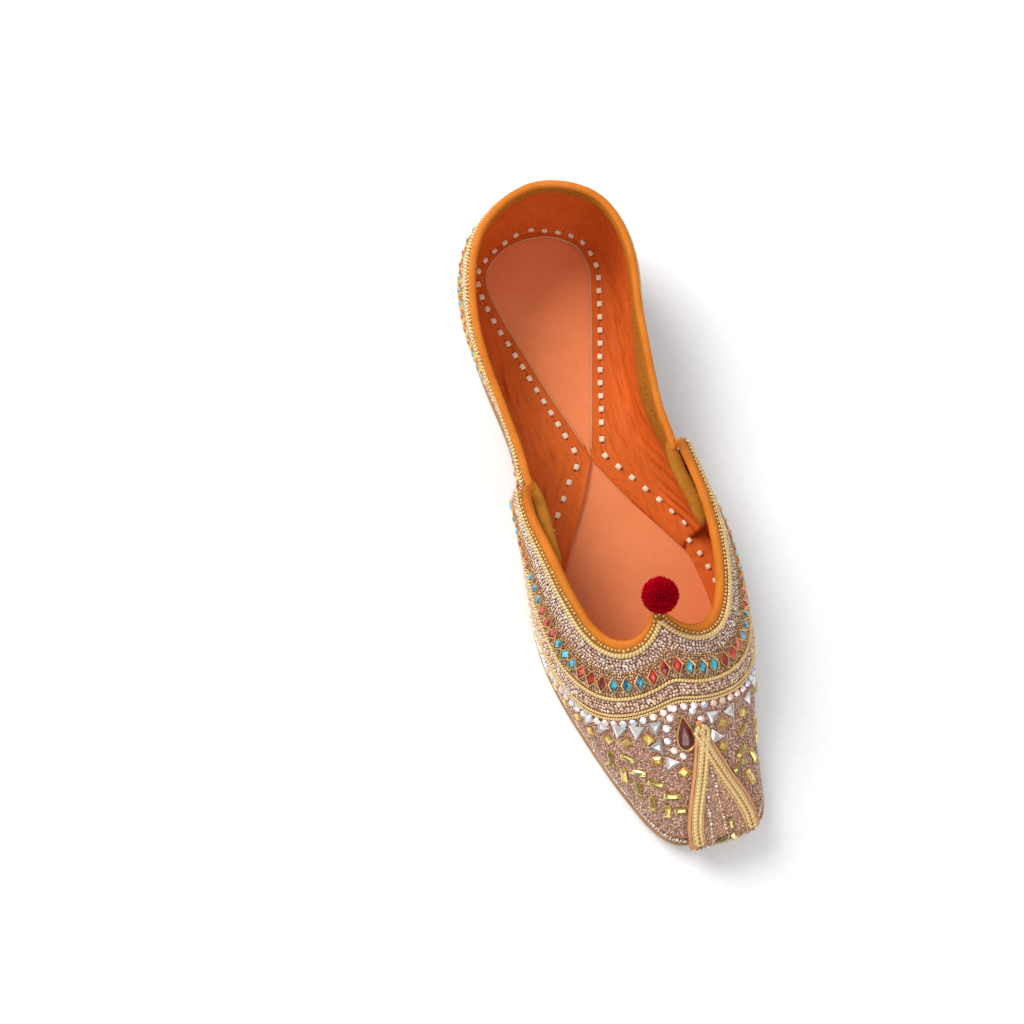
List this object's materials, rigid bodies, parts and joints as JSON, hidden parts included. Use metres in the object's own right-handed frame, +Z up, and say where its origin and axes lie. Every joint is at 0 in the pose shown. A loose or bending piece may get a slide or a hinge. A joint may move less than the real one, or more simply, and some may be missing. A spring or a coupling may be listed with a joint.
{
  "type": "mojari shoe",
  "caption": "Beaded leather slip-on shoe with a heart-shaped throat, tucked-in heel counter, turned-back toe flap and a small pompom.",
  "frame": {"origin": "centre of the bounding box on the floor plane the shoe stands on", "axes": "+Z up, toe towards -Y, heel towards +Y, +X to the wearer's left"},
  "size_m": [0.081, 0.2574, 0.0635],
  "materials": {
    "sole_leather": "matte",
    "lining_leather": "satin",
    "beaded_cloth": "glittering",
    "binding_leather": "satin",
    "pompom_wool": "matte",
    "gold_thread": "metallic",
    "seed_beads": "glossy",
    "stones": "glossy",
    "mirror_trim": "polished",
    "gilt_trim": "polished",
    "stitch_thread": "matte"
  },
  "bodies": {
    "root": {"outsole": "sole_leather", "insole": "lining_leather", "vamp": "beaded_cloth", "counter": "beaded_cloth", "vamp_binding": "binding_leather", "counter_binding": "binding_leather", "toe_flap": "beaded_cloth", "pompom": "pompom_wool"}
  },
  "joints": []
}
